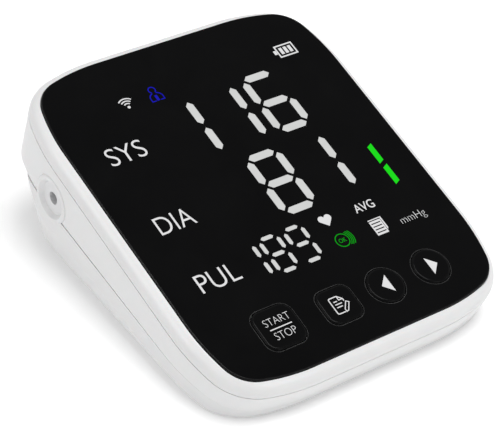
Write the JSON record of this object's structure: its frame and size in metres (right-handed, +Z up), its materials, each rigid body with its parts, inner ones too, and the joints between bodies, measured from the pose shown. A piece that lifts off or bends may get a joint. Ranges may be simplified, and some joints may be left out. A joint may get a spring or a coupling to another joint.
{
  "type": "upper arm blood pressure monitor",
  "caption": "Desk-top blood pressure monitor with a sloping display face, raised keys, a side air port, a battery bay and an internal pump and valve.",
  "frame": {"origin": "middle of the footprint on the table", "axes": "+X to the right of the user, +Y to the rear, +Z up"},
  "size_m": [0.1096, 0.1262, 0.0501],
  "materials": {
    "case_white": "fine satin moulded ABS",
    "panel_black": "smoked gloss acrylic",
    "key_black": "gloss moulded keys",
    "adhesive": "double-sided film",
    "switch_plastic": "moulded switch body",
    "reflector": "moulded reflector",
    "diffuser": "translucent white",
    "led": "chip with phosphor",
    "board": "solder mask",
    "steel": "plated steel",
    "chip": "moulded package",
    "shield_can": "tinned can",
    "sensor": "moulded sensor",
    "rubber_grey": "soft rubber",
    "cell_wrap": "printed sleeve",
    "socket_grey": "moulded nylon",
    "silicone": "silicone tube",
    "motor_can": "zinc plated can",
    "pump_plastic": "moulded nylon",
    "rubber_black": "soft rubber",
    "copper": "enamelled winding"
  },
  "bodies": {
    "case": {"top_cover": "case_white", "bottom_cover": "case_white", "front_panel": "panel_black", "panel_adhesive": "adhesive", "switch_bodies": "switch_plastic", "display_reflector": "reflector", "display_diffusers": "diffuser", "display_leds": "led", "main_board": "board", "board_screws": "steel", "microcontroller": "chip", "wireless_module": "shield_can", "buzzer": "chip", "pressure_sensor": "sensor", "usb_socket": "steel", "case_screws": "steel", "rubber_feet": "rubber_grey", "battery_cells": "cell_wrap", "battery_contacts": "steel", "battery_springs": "steel", "air_socket": "socket_grey", "air_manifold": "socket_grey", "air_tubes": "silicone", "pump_motor": "motor_can", "pump_body": "pump_plastic", "pump_diaphragm": "rubber_black", "pump_head": "pump_plastic", "pump_saddle": "rubber_black", "valve_frame": "motor_can", "valve_coil": "copper", "valve_spring": "steel"},
    "start_stop_key": {"start_stop_button": "key_black", "start_stop_plunger": "switch_plastic"},
    "memory_key": {"memory_button": "key_black", "memory_plunger": "switch_plastic"},
    "back_key": {"back_button": "key_black", "back_plunger": "switch_plastic"},
    "forward_key": {"forward_button": "key_black", "forward_plunger": "switch_plastic"},
    "door": {"battery_door": "case_white"},
    "crank": {"motor_shaft": "steel", "pump_crank": "pump_plastic"},
    "valve_armature": {"valve_pin": "steel"}
  },
  "joints": [
    {"name": "start_stop_press", "type": "slide", "parent": "case", "child": "start_stop_key", "axis": [0, 0.289, -0.9573], "range_m": [0, 0.0006], "stiffness_N_per_m": 2000, "springref_m": -0.0003},
    {"name": "memory_press", "type": "slide", "parent": "case", "child": "memory_key", "axis": [0, 0.289, -0.9573], "range_m": [0, 0.0006], "stiffness_N_per_m": 2000, "springref_m": -0.0003},
    {"name": "back_press", "type": "slide", "parent": "case", "child": "back_key", "axis": [0, 0.289, -0.9573], "range_m": [0, 0.0006], "stiffness_N_per_m": 2000, "springref_m": -0.0003},
    {"name": "forward_press", "type": "slide", "parent": "case", "child": "forward_key", "axis": [0, 0.289, -0.9573], "range_m": [0, 0.0006], "stiffness_N_per_m": 2000, "springref_m": -0.0003},
    {"name": "door_hinge", "type": "hinge", "parent": "case", "child": "door", "pos_m": [0, -0.0251, 0.0016], "axis": [-1, 0, 0], "range_deg": [0, 75]},
    {"name": "crank_spin", "type": "hinge", "parent": "case", "child": "crank", "pos_m": [0.003, 0.04067, 0.01637], "axis": [1, 0, 0], "continuous": true},
    {"name": "valve_pull", "type": "slide", "parent": "case", "child": "valve_armature", "axis": [0, 0.289, -0.9573], "range_m": [0, 0.0008], "stiffness_N_per_m": 400, "springref_m": -0.0008, "deforming": ["valve_spring"]}
  ]
}
